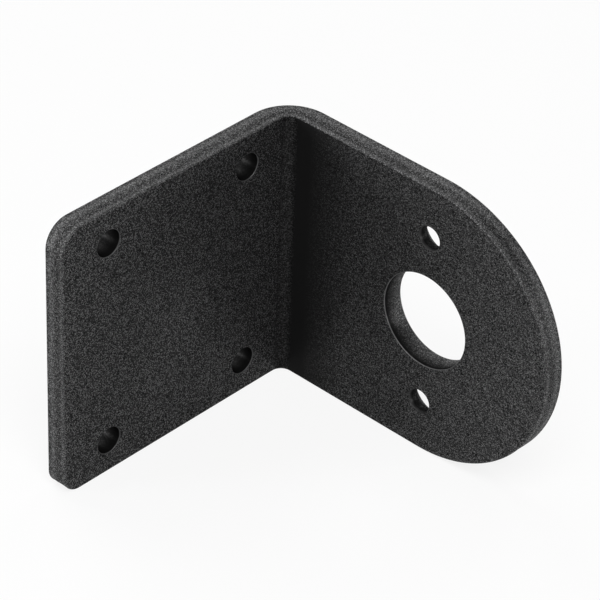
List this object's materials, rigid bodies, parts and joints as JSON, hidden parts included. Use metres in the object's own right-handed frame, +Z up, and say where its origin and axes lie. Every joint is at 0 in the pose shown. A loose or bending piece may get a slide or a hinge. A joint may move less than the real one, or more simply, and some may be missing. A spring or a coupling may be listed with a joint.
{
  "type": "motor mounting bracket",
  "caption": "Right-angle bracket folded from thick plate: a round-ended motor plate with a boss bore and countersunk screw holes, and a square base plate with plain screw holes.",
  "frame": {"origin": "centre of the motor's bore, on the face of the motor plate that the motor seats on", "axes": "+Y runs along the motor's axis and out through the motor plate, +X runs away from the base plate towards the motor plate's round end, +Z runs up along the fold"},
  "size_m": [0.0468, 0.0421, 0.0396],
  "materials": {
    "powder_coat": "fine-grained matt black powder coat"
  },
  "bodies": {
    "root": {"motor_bracket": "powder_coat"}
  },
  "joints": []
}
